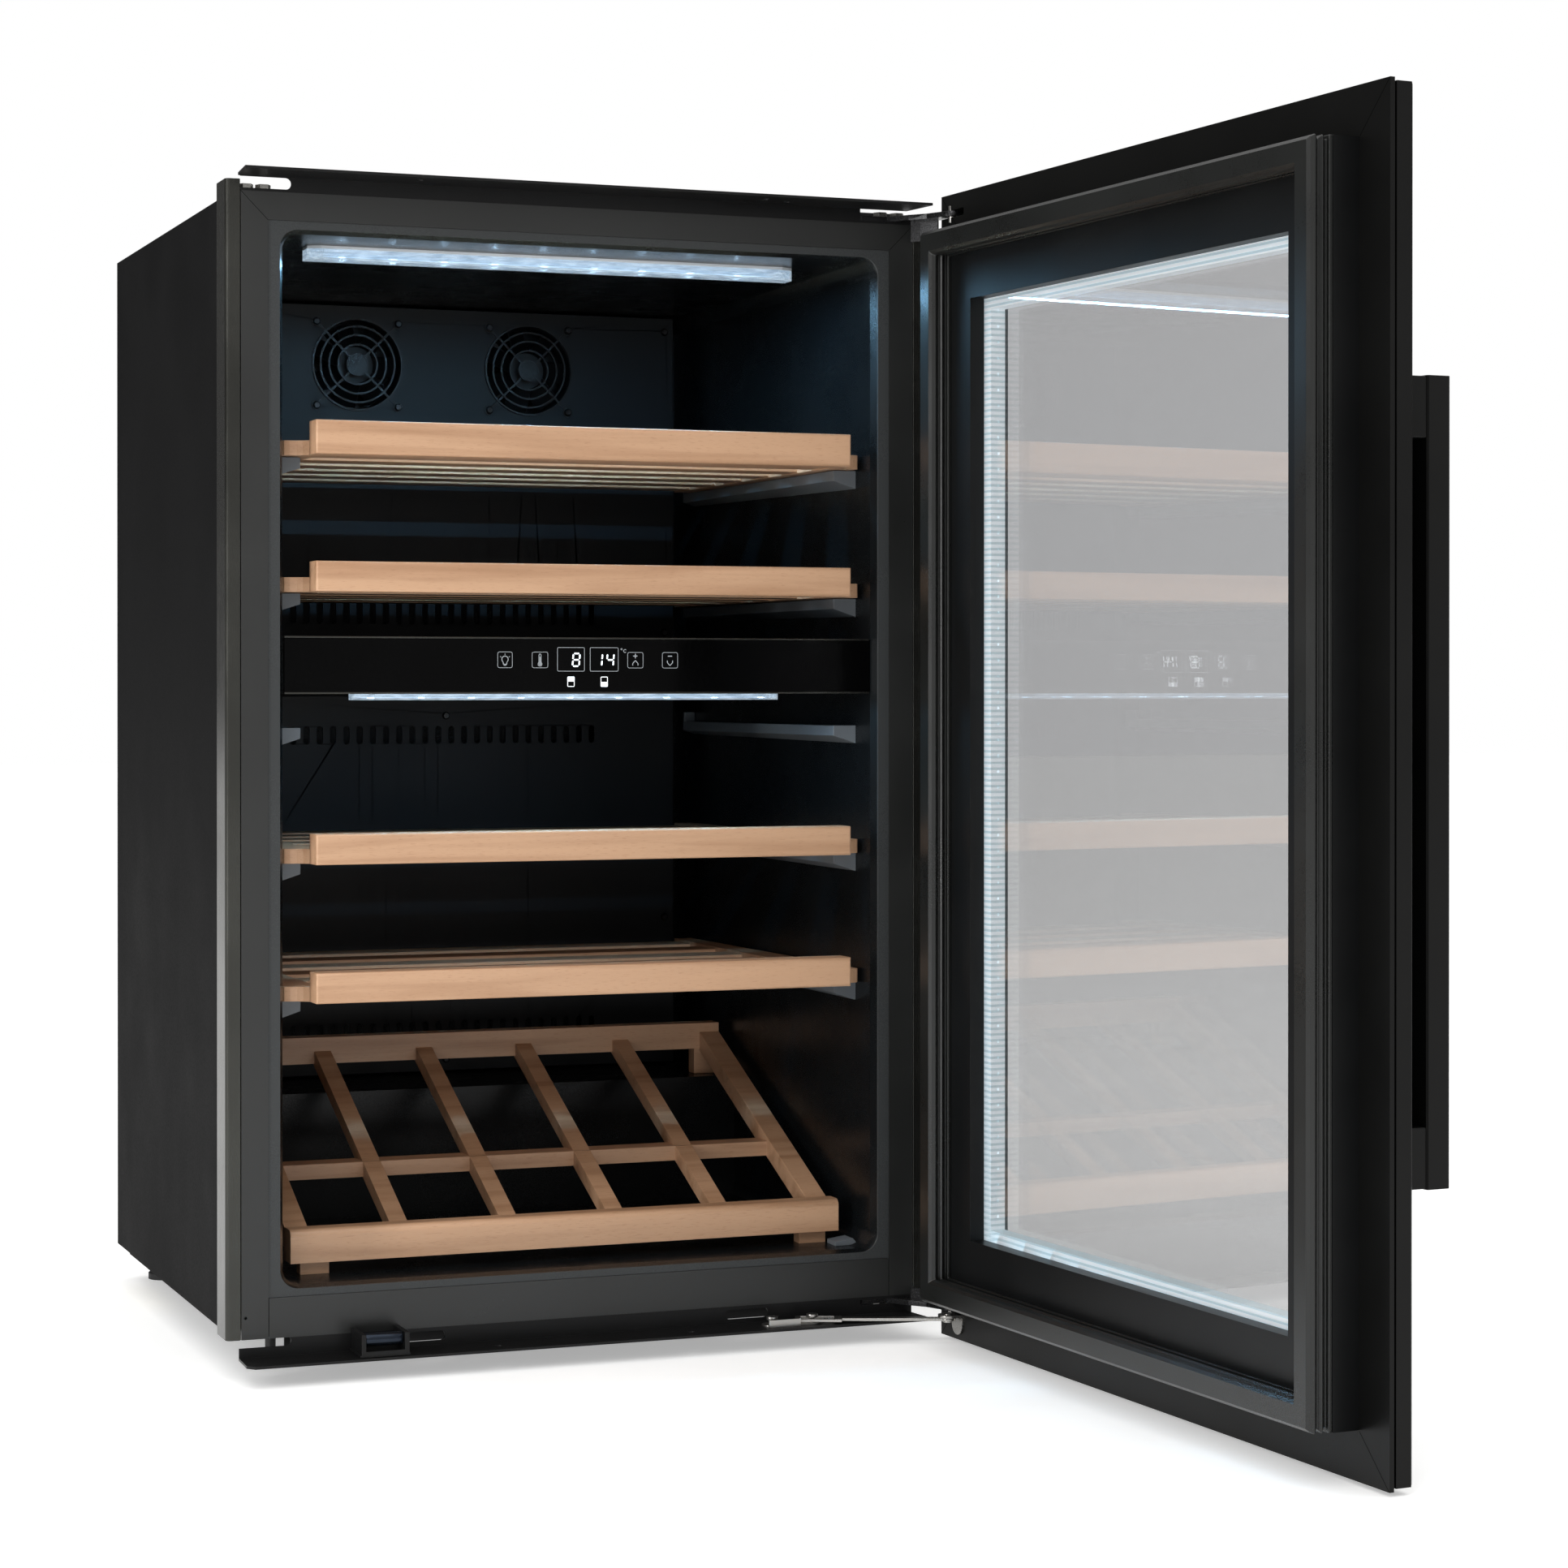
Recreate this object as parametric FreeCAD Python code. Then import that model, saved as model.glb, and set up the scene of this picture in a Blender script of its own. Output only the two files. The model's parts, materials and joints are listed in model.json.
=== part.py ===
"""Built-in two-zone wine cooler with a glass door, beech shelves and real hinges.

Body coordinates: x from the outer face of the left trim, y from the front of the
face frame towards the back, z from the lower edge of the door.  place() moves the
finished shapes so that the origin is the middle of the four feet on the floor.
Door coordinates: x from the hinge edge, y outwards from the inner face of the back
plate, z as above.
"""
import FreeCAD, Part
import math
import os

V = FreeCAD.Vector
os.makedirs("parts", exist_ok=True)

# cabinet
BODY_W = 556.0
BODY_D = 440.0
REAR_D = 480.0
REAR_TOP = 850.0
PANEL_Z0 = 32.4
PANEL_Z1 = 862.6
SHEET = 1.0
FOOT_Z = -3.0
FEET_Y = (58.0, 462.0)
FOOT_X = 46.0
ORIGIN_SHIFT = V(-BODY_W / 2, -sum(FEET_Y) / 2, -FOOT_Z)

# face frame
FRAME_X0, FRAME_X1 = 11.5, 544.5
FRAME_Z0, FRAME_Z1 = 27.0, 866.0
STILE_W = 20.0
TOP_RAIL_H = 20.5
BOTTOM_RAIL_H = 29.5
FRAME_T = 16.0
FRAME_JOINT = 0.5

# liner cavity
CAV_MOUTH = (40.5, 515.5, 62.0, 839.5)
CAV_FRONT = (44.0, 512.0, 64.0, 837.0)
LIP_Y = 9.0
CAV_REAR = (55.5, 500.5, 68.0, 831.5)
CAV_D = 438.0
WALL = 2.0
HUMP_Y, HUMP_Z = 294.0, 170.0

# door
DOOR_W, DOOR_H = 591.0, 885.0
DOOR_EDGE_X = 573.5
DOOR_Y = -38.5
DOOR_OPEN = 94.4
HINGE_X, HINGE_Y = 560.24, -40.84
PIN_U = DOOR_EDGE_X - HINGE_X
PIN_V = DOOR_Y - HINGE_Y
PIN_R = 3.0
PIN_L = 13.0
PIN_Z = (16.5, 863.5)
RUN_GAP = 0.05
GLASS = (83.0, 508.0, 85.5, 797.0)
RING_OUT = (33.0, 558.0, 33.0, 852.0)
HANDLE_U = (547.0, 571.0)
GASKET_W = 20.0

# lower stay between the door and the lower bracket
STAY_U, STAY_V = 28.0, -9.0
STAY_Q = V(452.0, -19.0, 0)
STUD_X = 419.0

# shelves: underside height and front board height
SHELVES = ((675.2, 25.0), (574.0, 22.5), (373.0, 22.5), (271.0, 22.5))
EMPTY_LEVEL = 474.0
BOARD = (66.0, 490.0, -6.0, 16.0)
RACK_END = 385.0

# fans and covers
FANS = ((199.5, 780.0), (352.5, 780.0))
COVER_Y = 400.0
FAN_PITCH = 71.5


def box(x0, x1, y0, y1, z0, z1):
    return Part.makeBox(x1 - x0, y1 - y0, z1 - z0, V(x0, y0, z0))


def cyl(x, y, z, r, h, d=(0, 0, 1)):
    return Part.makeCylinder(r, h, V(x, y, z), V(*d))


def fuse(shapes):
    shapes = list(shapes)
    if len(shapes) == 1:
        return shapes[0]
    return shapes[0].multiFuse(shapes[1:]).removeSplitter()


def cut(shape, tools):
    tools = list(tools)
    return shape.cut(tools[0] if len(tools) == 1 else Part.makeCompound(tools))


def group(shapes):
    return Part.makeCompound(list(shapes))


def prism(points, direction):
    pts = [V(*p) for p in points]
    face = Part.Face(Part.makePolygon(pts + [pts[0]]))
    return face.extrude(V(*direction))


def slot_xz(x0, x1, z0, z1, y0, y1):
    """Slot with round ends through a plate that faces the front."""
    r = min(x1 - x0, z1 - z0) / 2
    if x1 - x0 > z1 - z0:
        ends = ((x0 + r, (z0 + z1) / 2), (x1 - r, (z0 + z1) / 2))
        core = box(x0 + r, x1 - r, y0, y1, z0, z1)
    else:
        ends = (((x0 + x1) / 2, z0 + r), ((x0 + x1) / 2, z1 - r))
        core = box(x0, x1, y0, y1, z0 + r, z1 - r)
    return fuse([core] + [cyl(a, y0, b, r, y1 - y0, (0, 1, 0)) for a, b in ends])


def round_rect(rect, y, r, grow=0.0):
    x0, x1, z0, z1 = rect
    x0, x1, z0, z1 = x0 - grow, x1 + grow, z0 - grow, z1 + grow
    r = r + grow
    k = r * (1 - math.sqrt(0.5))
    edges = [
        Part.makeLine(V(x0 + r, y, z0), V(x1 - r, y, z0)),
        Part.Arc(V(x1 - r, y, z0), V(x1 - k, y, z0 + k), V(x1, y, z0 + r)).toShape(),
        Part.makeLine(V(x1, y, z0 + r), V(x1, y, z1 - r)),
        Part.Arc(V(x1, y, z1 - r), V(x1 - k, y, z1 - k), V(x1 - r, y, z1)).toShape(),
        Part.makeLine(V(x1 - r, y, z1), V(x0 + r, y, z1)),
        Part.Arc(V(x0 + r, y, z1), V(x0 + k, y, z1 - k), V(x0, y, z1 - r)).toShape(),
        Part.makeLine(V(x0, y, z1 - r), V(x0, y, z0 + r)),
        Part.Arc(V(x0, y, z0 + r), V(x0 + k, y, z0 + k), V(x0 + r, y, z0)).toShape(),
    ]
    return Part.Wire(edges)


def cavity(grow=0.0):
    """Inside of the liner; grow gives its outside."""
    mouth = round_rect(CAV_MOUTH, 1.0, 14.0, grow)
    front = round_rect(CAV_FRONT, LIP_Y, 12.0, grow)
    rear = round_rect(CAV_REAR, CAV_D + grow, 12.0, grow)
    shape = Part.makeLoft([mouth, front, rear], True, True)
    hump = box(0, BODY_W, HUMP_Y + grow, 600, 0, HUMP_Z - grow)
    return shape.cut(hump)


def frame_ring(outer, inner, y0, y1):
    a = box(outer[0], outer[1], y0, y1, outer[2], outer[3])
    b = box(inner[0], inner[1], y0 - 1, y1 + 1, inner[2], inner[3])
    return a.cut(b)


def inset(rect, d):
    return (rect[0] + d, rect[1] - d, rect[2] + d, rect[3] - d)


def tapered_ring(rect, y0, y1, a0, a1, b0, b1):
    """Ring whose outer margin goes a0 to a1 and inner margin b0 to b1 between y0 and y1."""
    def rect_wire(d, y):
        x0, x1, z0, z1 = inset(rect, d)
        pts = [V(x0, y, z0), V(x1, y, z0), V(x1, y, z1), V(x0, y, z1), V(x0, y, z0)]
        return Part.makePolygon(pts)
    outer = Part.makeLoft([rect_wire(a0, y0), rect_wire(a1, y1)], True, True)
    inner = Part.makeLoft([rect_wire(b0, y0), rect_wire(b1, y1)], True, True)
    return outer.cut(inner)


def place(shape):
    out = shape.copy()
    out.translate(ORIGIN_SHIFT)
    return out


def place_door(shape):
    out = shape.copy()
    out.rotate(V(0, 0, 0), V(0, 0, 1), 180)
    out.translate(V(DOOR_EDGE_X, DOOR_Y, 0))
    out.rotate(V(HINGE_X, HINGE_Y, 0), V(0, 0, 1), DOOR_OPEN)
    return place(out)


def fan_rotor(r_tip, r_hub, depth, bore, blades, pitch):
    """Rotor about the local y axis, front face at y = 0."""
    hub = cyl(0, 0, 0, r_hub, depth, (0, 1, 0))
    parts = [hub]
    for i in range(blades):
        blade = box(r_hub - 2, r_tip, -0.7, 0.7, -depth * 0.62, depth * 0.62)
        blade.rotate(V(0, 0, 0), V(1, 0, 0), pitch)
        blade.translate(V(0, depth / 2, 0))
        blade.rotate(V(0, 0, 0), V(0, 1, 0), i * 360.0 / blades)
        parts.append(blade)
    rotor = fuse(parts)
    rim = cyl(0, 0, 0, r_tip - 0.2, depth, (0, 1, 0))
    rotor = rotor.common(rim)
    return cut(rotor, [cyl(0, 3, 0, bore, depth, (0, 1, 0))])


def fan_frame(half, r_open, r_boss, depth, shaft_r, rotor_depth):
    """Square fan frame about the local y axis, front face at y = 0, stator at the back."""
    body = box(-half, half, 0, depth, -half, half)
    body = cut(body, [cyl(0, -1, 0, r_open, depth + 2, (0, 1, 0))])
    back = depth - 3
    spokes = [cyl(0, back, 0, r_boss, 3, (0, 1, 0))]
    for i in range(4):
        s = box(r_boss - 2, r_open + 1.5, back, depth, -2, 2)
        s.rotate(V(0, 0, 0), V(0, 1, 0), 45 + 90 * i)
        spokes.append(s)
    shaft = cyl(0, depth - 3 - rotor_depth * 0.7, 0, shaft_r, rotor_depth * 0.7 + 1, (0, 1, 0))
    holes = []
    for sx in (-1, 1):
        for sz in (-1, 1):
            q = half - 4.25
            holes.append(cyl(sx * q, -1, sz * q, 2.1, depth + 2, (0, 1, 0)))
    return cut(fuse([body, shaft] + spokes), holes)


def moved(shape, x, y, z):
    out = shape.copy()
    out.translate(V(x, y, z))
    return out


nodes = {}
door_nodes = {}

# ---------------------------------------------------------------- cabinet shell
left = fuse([
    box(1.5, 1.5 + SHEET, 4.0, BODY_D, PANEL_Z0, PANEL_Z1),
    box(2.5, 19.2, BODY_D - SHEET, BODY_D, PANEL_Z0, PANEL_Z1),
])
right = left.mirror(V(BODY_W / 2, 0, 0), V(1, 0, 0))
nodes["side_panels"] = group([left, right])
nodes["top_panel"] = fuse([
    box(2.5, BODY_W - 2.5, FRAME_T, BODY_D - SHEET, PANEL_Z1 - SHEET, PANEL_Z1),
    box(20, BODY_W - 20, FRAME_T, FRAME_T + SHEET, PANEL_Z1 - 14, PANEL_Z1 - SHEET),
    box(19.4, BODY_W - 19.4, BODY_D - SHEET, BODY_D, REAR_TOP + 0.2, PANEL_Z1),
])

foot_spots = [(x, y) for y in FEET_Y for x in (FOOT_X, BODY_W - FOOT_X)]
pan = fuse([
    box(2.5, BODY_W - 2.5, FRAME_T, 308, PANEL_Z0 - 1.6, PANEL_Z0),
    box(19.2, BODY_W - 19.2, 306.4, 308, 16, PANEL_Z0),
    box(19.2, BODY_W - 19.2, 306.4, REAR_D - SHEET, 16, 17.6),
    box(19.2, 20.4, 306.4, REAR_D - SHEET, 16, 40),
    box(BODY_W - 20.4, BODY_W - 19.2, 306.4, REAR_D - SHEET, 16, 40),
])
nodes["base_pan"] = cut(pan, [cyl(x, y, 0, 4.05, 60) for x, y in foot_spots])

feet = []
for x, y in foot_spots:
    top = PANEL_Z0 - 1.6 if y < 300 else 16.0
    pad = fuse([cyl(x, y, FOOT_Z, 14, 5),
                Part.makeCone(14, 9, 4, V(x, y, FOOT_Z + 5), V(0, 0, 1))])
    stem = cyl(x, y, FOOT_Z + 7.5, 4.0, top - FOOT_Z - 7.5 + 8)
    nut = Part.makeCylinder(7, 4, V(x, y, top - 4))
    feet.append(fuse([pad, stem, nut]))
nodes["levelling_feet"] = group(feet)

shell = fuse([
    box(19.2, BODY_W - 19.2, REAR_D - SHEET, REAR_D, 156, REAR_TOP),
    box(19.2, 20.2, BODY_D, REAR_D - SHEET, 41, REAR_TOP),
    box(BODY_W - 20.2, BODY_W - 19.2, BODY_D, REAR_D - SHEET, 41, REAR_TOP),
    box(19.2, BODY_W - 19.2, BODY_D, REAR_D - SHEET, REAR_TOP - SHEET, REAR_TOP),
])
nodes["rear_panel"] = shell

grille = box(19.2, BODY_W - 19.2, REAR_D - SHEET, REAR_D, 16, 155.6)
vents = []
for row in range(5):
    for col in range(9):
        x = 60 + col * 30
        z = 40 + row * 22
        vents.append(slot_xz(x, x + 22, z, z + 7, REAR_D - 3, REAR_D + 1))
vents.append(box(462.2, 489.8, REAR_D - 3, REAR_D + 1, 92.2, 113.8))
nodes["rear_grille"] = cut(grille, vents)

inlet = fuse([
    box(462.4, 489.6, REAR_D - 20, REAR_D + 1, 92.4, 113.6),
    box(456, 496, REAR_D, REAR_D + 1, 89, 117),
])
well = box(465.5, 486.5, REAR_D - 15, REAR_D + 2, 95.5, 110.5)
pins = [box(475 + dx, 477 + dx, REAR_D - 16, REAR_D - 4, 101, 105) for dx in (-7, 0, 7)]
nodes["mains_inlet"] = fuse([cut(inlet, [well])] + pins)

trim = prism([
    (0, 3.0, 27), (0.25, 1.9, 27), (0.9, 0.9, 27), (1.9, 0.25, 27), (3.0, 0, 27),
    (11, 0, 27), (11, 1.4, 27), (3.2, 1.4, 27), (1.5, 3.2, 27), (1.5, 30.6, 27), (0, 30.6, 27),
], (0, 0, 847.3))
nodes["side_trims"] = group([trim, trim.mirror(V(BODY_W / 2, 0, 0), V(1, 0, 0))])

# ---------------------------------------------------------------- face frame
x0, x1, z0, z1 = FRAME_X0, FRAME_X1, FRAME_Z0, FRAME_Z1
xi0, xi1 = x0 + STILE_W, x1 - STILE_W
zi1 = z1 - TOP_RAIL_H
gap = FRAME_JOINT
left = prism([(x0, 0, z0), (xi0, 0, z0), (xi0, 0, zi1 - gap), (x0, 0, z1 - gap)],
             (0, FRAME_T, 0))
right = prism([(x1, 0, z0), (xi1, 0, z0), (xi1, 0, zi1 - gap), (x1, 0, z1 - gap)],
              (0, FRAME_T, 0))
peep = cyl(x0 + 3, -1, 43, 1.2, 5, (0, 1, 0))
nodes["frame_stiles"] = group([cut(left, [peep]), right])
nodes["frame_top_rail"] = prism([(x0, 0, z1), (xi0, 0, zi1), (xi1, 0, zi1), (x1, 0, z1)],
                                (0, FRAME_T, 0))
nodes["frame_bottom_rail"] = box(xi0 + gap, xi1 - gap, 0, FRAME_T, z0, z0 + BOTTOM_RAIL_H)

# ---------------------------------------------------------------- liner and foam
inner = cavity()
outer = cavity(WALL)
flange = box(xi0, xi1, 1.0, 3.0, z0 + BOTTOM_RAIL_H, zi1)
nodes["liner"] = fuse([outer, flange]).cut(inner)

foam = fuse([
    box(2.5, BODY_W - 2.5, FRAME_T + SHEET, BODY_D - SHEET, PANEL_Z0, PANEL_Z1 - SHEET),
    box(20.2, BODY_W - 20.2, BODY_D - SHEET, REAR_D - SHEET, 156, REAR_TOP - SHEET),
])
foam = cut(foam, [
    outer,
    box(19.2, BODY_W - 19.2, 306.4, REAR_D + 5, 0, 154),
] + [cyl(x, y, PANEL_Z0 - 1, 4.4, 12) for x, y in foot_spots[:2]])
nodes["insulation"] = foam

# ---------------------------------------------------------------- mounting brackets
top = fuse([
    box(11.2, 543.9, 0, 30, 866, 868),
    box(11.2, 500, 0, 2, 866, 879),
    prism([(7, -36, 877), (546, -36, 877), (540, 2, 877), (9.8, 2, 877)], (0, 0, 2)),
])
top_bolts = ((17, 10), (30, 10), (521, 10), (535, 10))
nodes["bracket_top"] = cut(top, [
    slot_xz(2, 49, 868, 876.6, -1, 3),
    cyl(434, -12, 870, 2.5, 20),
    cyl(140, -22, 870, 3, 20),
    cyl(412, -22, 870, 3, 20),
] + [cyl(x, y, 860, 3.1, 10) for x, y in top_bolts])

bottom_bolts = ((60, 10), (76, 10), (521, 10), (535, 10))
bot = fuse([
    box(50, 543.9, 0, 30, 25, 27),
    box(9.8, 500, 0, 2, 12, 27),
    box(500, 543.5, 0, 2, 12, 20.8),
    box(50, 543.9, 29.2, 31.2, 12, 27),
    prism([(14, -36, 12), (546, -36, 12), (540, 2, 12), (9.8, 2, 12), (8.7, -30, 12)], (0, 0, 2)),
])
nodes["bracket_bottom"] = cut(bot, [
    slot_xz(0, 48.4, 20.8, 28, -1, 3),
    box(5, 20, -1, 3, 20.8, 28),
    slot_xz(130, 165, 17, 24.4, -1, 3),
    slot_xz(388, 423, 17, 24.4, -1, 3),
    cyl(200, -22, 8, 3, 20),
    cyl(352, -22, 8, 3, 20),
] + [cyl(x, y, 20, 3.1, 10) for x, y in bottom_bolts])


def hex_bolt(x, y, z, up, grip):
    """Bolt with its head seat at z; up is +1 when the head points up."""
    pts = [(x + 5.77 * math.cos(math.radians(a)), y + 5.77 * math.sin(math.radians(a)), z)
           for a in range(0, 360, 60)]
    head = prism(pts, (0, 0, 3.8 * up))
    return fuse([head, cyl(x, y, z, 3.0, grip, (0, 0, -up))])


bolts = [hex_bolt(x, y, 868 if x < 100 else 872, 1, 12) for x, y in top_bolts]
bolts += [hex_bolt(x, y, 25 if x < 100 else 21, -1, 12) for x, y in bottom_bolts]
nodes["bracket_bolts"] = group(bolts)
for name in ("frame_stiles", "frame_top_rail", "frame_bottom_rail"):
    nodes[name] = cut(nodes[name], [cyl(x, y, 850, 3.05, 20) for x, y in top_bolts]
                      + [cyl(x, y, 20, 3.05, 24) for x, y in bottom_bolts])

# roller catch on the lower bracket
ROLLER_Y, ROLLER_Z = -25.0, 26.0
catch = fuse([
    box(92, 130, -33, -1, 14, 16),
    box(93, 96.5, -33, -1, 14, 31),
    box(125.5, 129, -33, -1, 14, 31),
    box(93, 129, -33, -31, 14, 18.5),
    cyl(96, ROLLER_Y, ROLLER_Z, 2.0, 30, (1, 0, 0)),
])
nodes["catch_block"] = catch
nodes["catch_roller"] = cut(cyl(97, ROLLER_Y, ROLLER_Z, 4.8, 28, (1, 0, 0)),
                            [cyl(90, ROLLER_Y, ROLLER_Z, 2.0 + RUN_GAP, 50, (1, 0, 0))])


# ---------------------------------------------------------------- hinge arms
def hinge_arm(z, bolt_z):
    path = [
        (503, 3.0), (503, 29), (543.5, 29), (543.5, -0.6), (549, -8), (560, -22),
        (HINGE_X + 7.5, HINGE_Y + 3), (HINGE_X + 5, HINGE_Y - 6), (HINGE_X - 6, HINGE_Y - 5.5),
        (545, -26), (535, -14), (524, 3.0),
    ]
    arm = prism([(a, b, z) for a, b in path], (0, 0, 4))
    stop_z = (z + 3.9, 877.0) if z > 400 else (14.2, z + 0.1)
    rib_z, rib_h = (852.5, 16) if z > 400 else (24.5, 8)
    rib = prism([(x, y, rib_z) for x, y in (
        (543.5, -0.6), (549, -8), (558, -20), (556.3, -21.2), (547.2, -9.2), (542, -1.9),
    )], (0, 0, rib_h))
    arm = fuse([arm, rib, cyl(HINGE_X, HINGE_Y, z, 8.0, 4),
                box(503, 543.5, 20, 23, *stop_z)])
    holes = [cyl(HINGE_X, HINGE_Y, z - 1, PIN_R + RUN_GAP, 6)]
    holes += [cyl(x, y, z - 1, 3.1, 6) for x, y in bolt_z]
    return cut(arm, holes)


nodes["hinge_arms"] = group([
    hinge_arm(868, top_bolts[2:]),
    hinge_arm(21, bottom_bolts[2:]),
])

# guide for the lower stay: a round-ended plate with the guide pin and a stop stud
ends = (STUD_X, STAY_Q.x)
guide = [box(*ends, STAY_Q.y - 8, STAY_Q.y + 8, 14, 15.2)]
guide += [cyl(x, STAY_Q.y, 14, 8, 1.2) for x in ends]
guide += [cyl(x, STAY_Q.y, 14, r, 6.5) for x, r in zip(ends, (2.5, 1.8))]
guide += [cyl(x, STAY_Q.y, 18.6, 4.5, 2.2) for x in ends]
guide += [box(STUD_X - 6, STUD_X + 20, STAY_Q.y - 9.4, STAY_Q.y - 7.9, 14, 19.5)]
nodes["stay_guide"] = fuse(guide)

# ---------------------------------------------------------------- evaporator covers
def cover(z0, z1):
    outside = box(70, 486, COVER_Y, CAV_D, z0, z1)
    inside = box(72, 484, COVER_Y + 2, CAV_D + 1, z0 + 2, z1 - 2)
    return outside.cut(inside)


upper = cover(543, 830).common(inner)
slots = [slot_xz(141 + 11.6 * i, 146 + 11.6 * i, 558, 578, 398, 404) for i in range(24)]
slots += [cyl(x, 398, z, 38, 6, (0, 1, 0)) for x, z in FANS]
nodes["evaporator_cover_upper"] = cut(upper, slots)
lower = cover(172, 496)
slots = [slot_xz(141 + 11.6 * i, 146 + 11.6 * i, 455, 470, 398, 404) for i in range(24)]
slots += [slot_xz(141 + 11.6 * i, 146 + 11.6 * i, 190, 215, 398, 404) for i in range(24)]
nodes["evaporator_cover_lower"] = cut(lower, slots)

guards = []
screws = []
frames = []
for x, z in FANS:
    wires = []
    for r in (9.0, 17.0, 25.0, 32.5, 39.0):
        ring = cyl(x, 398.0, z, r + 0.8, 1.4, (0, 1, 0))
        wires.append(ring.cut(cyl(x, 397.0, z, r - 0.8, 4.0, (0, 1, 0))))
    reach = FAN_PITCH / 2 * math.sqrt(2)
    for i in range(4):
        a = math.radians(45 + 90 * i)
        wire = box(8.6, reach - 2, 398.8, COVER_Y, -0.9, 0.9)
        wire.rotate(V(0, 0, 0), V(0, 1, 0), -math.degrees(a))
        wires.append(moved(wire, x, 0, z))
        ex, ez = x + reach * math.cos(a), z + reach * math.sin(a)
        wires.append(cyl(ex, 398.4, ez, 4.0, COVER_Y - 398.4, (0, 1, 0)))
        screws.append((ex, 398.4, ez))
    wires.append(cyl(x, 398.4, z, 9.0, 1.2, (0, 1, 0)))
    guards.append(cut(fuse(wires), [cyl(ex, 390, ez, 1.6, 20, (0, 1, 0))
                                    for ex, _, ez in screws[-4:]]))
    frames.append(moved(fan_frame(40, 38, 14, 25, 2.0, 17), x, COVER_Y + 2, z))
nodes["fan_guards"] = group(guards)
nodes["fan_frames"] = group(frames)
screws += [(478, COVER_Y, 818), (78, COVER_Y, 818), (478, COVER_Y, 552), (78, COVER_Y, 552)]
screws += [(278, COVER_Y, 479), (78, COVER_Y, 300), (478, COVER_Y, 300), (278, COVER_Y, 182)]
heads = []
for x, y, z in screws:
    head = Part.makeCone(2.2, 3.4, 1.6, V(x, y - 1.6, z), V(0, 1, 0))
    head = fuse([head, cyl(x, y - 0.1, z, 1.6, 6, (0, 1, 0))])
    heads.append(cut(head, [box(x - 2, x + 2, y - 2, y - 1.0, z - 0.4, z + 0.4),
                            box(x - 0.4, x + 0.4, y - 2, y - 1.0, z - 2, z + 2)]))
nodes["cover_screws"] = group(heads)
shanks = [cyl(x, 395, z, 1.6, 14, (0, 1, 0)) for x, _, z in screws]
for name in ("evaporator_cover_upper", "evaporator_cover_lower", "fan_frames"):
    nodes[name] = cut(nodes[name], shanks)

rotor = fan_rotor(36.5, 15.5, 17, 2.0 + RUN_GAP, 7, 38)
for name, (x, z) in zip(("fan_rotor_left", "fan_rotor_right"), FANS):
    nodes[name] = moved(rotor, x, COVER_Y + 2 + 4.6, z)


def coil(x0, x1, z0, z1, y, rows):
    """Serpentine tube with upright fins."""
    pitch = (z1 - z0) / (rows - 1)
    parts = [cyl(x0, y, z0 + i * pitch, 4, x1 - x0, (1, 0, 0)) for i in range(rows)]
    for i in range(rows - 1):
        xb = x1 if i % 2 == 0 else x0
        zc = z0 + (i + 0.5) * pitch
        bend = Part.makeTorus(pitch / 2, 4, V(xb, y, zc), V(0, 1, 0))
        keep = box(xb, xb + 40, y - 9, y + 9, zc - 40, zc + 40)
        if i % 2:
            keep.translate(V(-40, 0, 0))
        parts.append(bend.common(keep))
    n = 24
    for i in range(n):
        x = x0 + 6 + (x1 - x0 - 12) * i / (n - 1)
        parts.append(box(x - 0.3, x + 0.3, y - 12, y + 12, z0 - 8, z1 + 8))
    return fuse(parts)


nodes["evaporator_coils"] = group([
    coil(110, 450, 600, 715, 421, 5),
    coil(110, 450, 250, 430, 421, 6),
])

# ---------------------------------------------------------------- zone divider and controls
div = prism([(40, 12, 499), (40, 12, 541), (40, CAV_D, 541), (40, CAV_D, 520), (40, 120, 499)],
            (480, 0, 0))
div = div.common(inner)
nodes["divider"] = cut(div, [
    box(190, 370, 11, 40, 504, 536),
    box(69.8, 486.2, COVER_Y - 2, 500, 490, 560),
])
fascia = box(45.2, 510.8, 8, 12, 500, 540)
windows = [(255, 277, 515.5, 534), (281, 304, 515.5, 534)]
keys = [(208, 220), (235, 248), (311, 324), (339, 352)]
cells = [box(a, b, 7.5, 8.8, c, d) for a, b, c, d in windows]
cells += [box(a, b, 7.5, 8.8, 518, 530.5) for a, b in keys]
nodes["control_fascia"] = cut(fascia, cells)
plates = [box(a, b, 8.0, 8.8, c, d) for a, b, c, d in windows]
plates += [box(a, b, 8.0, 8.8, 518, 530.5) for a, b in keys]
nodes["display_cells"] = group(plates)
nodes["fascia_trims"] = group([
    box(45.2, 510.8, 7.4, 12, 540, 541.4),
    box(45.2, 510.8, 7.4, 12, 498.6, 500),
])
board = [box(195, 365, 16, 17.6, 507, 533)]
board += [cyl(x, 12, z, 2.5, 5, (0, 1, 0)) for x in (200, 360) for z in (511, 529)]
board += [box(x, x + 12, 17.5, 20.5, 514, 526) for x in (215, 250, 300, 335)]
nodes["control_board"] = fuse(board)

# ---------------------------------------------------------------- light bars
def bar_body(x0, x1, y0, y1, z0, z1, tip):
    """Straight bar whose two ends taper towards the back."""
    return prism([(x0, y1, z0), (x0, y0 + tip / 2, z0), (x0 + tip, y0, z0), (x1 - tip, y0, z0),
                  (x1, y0 + tip / 2, z0), (x1, y1, z0)], (0, 0, z1 - z0))


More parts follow.
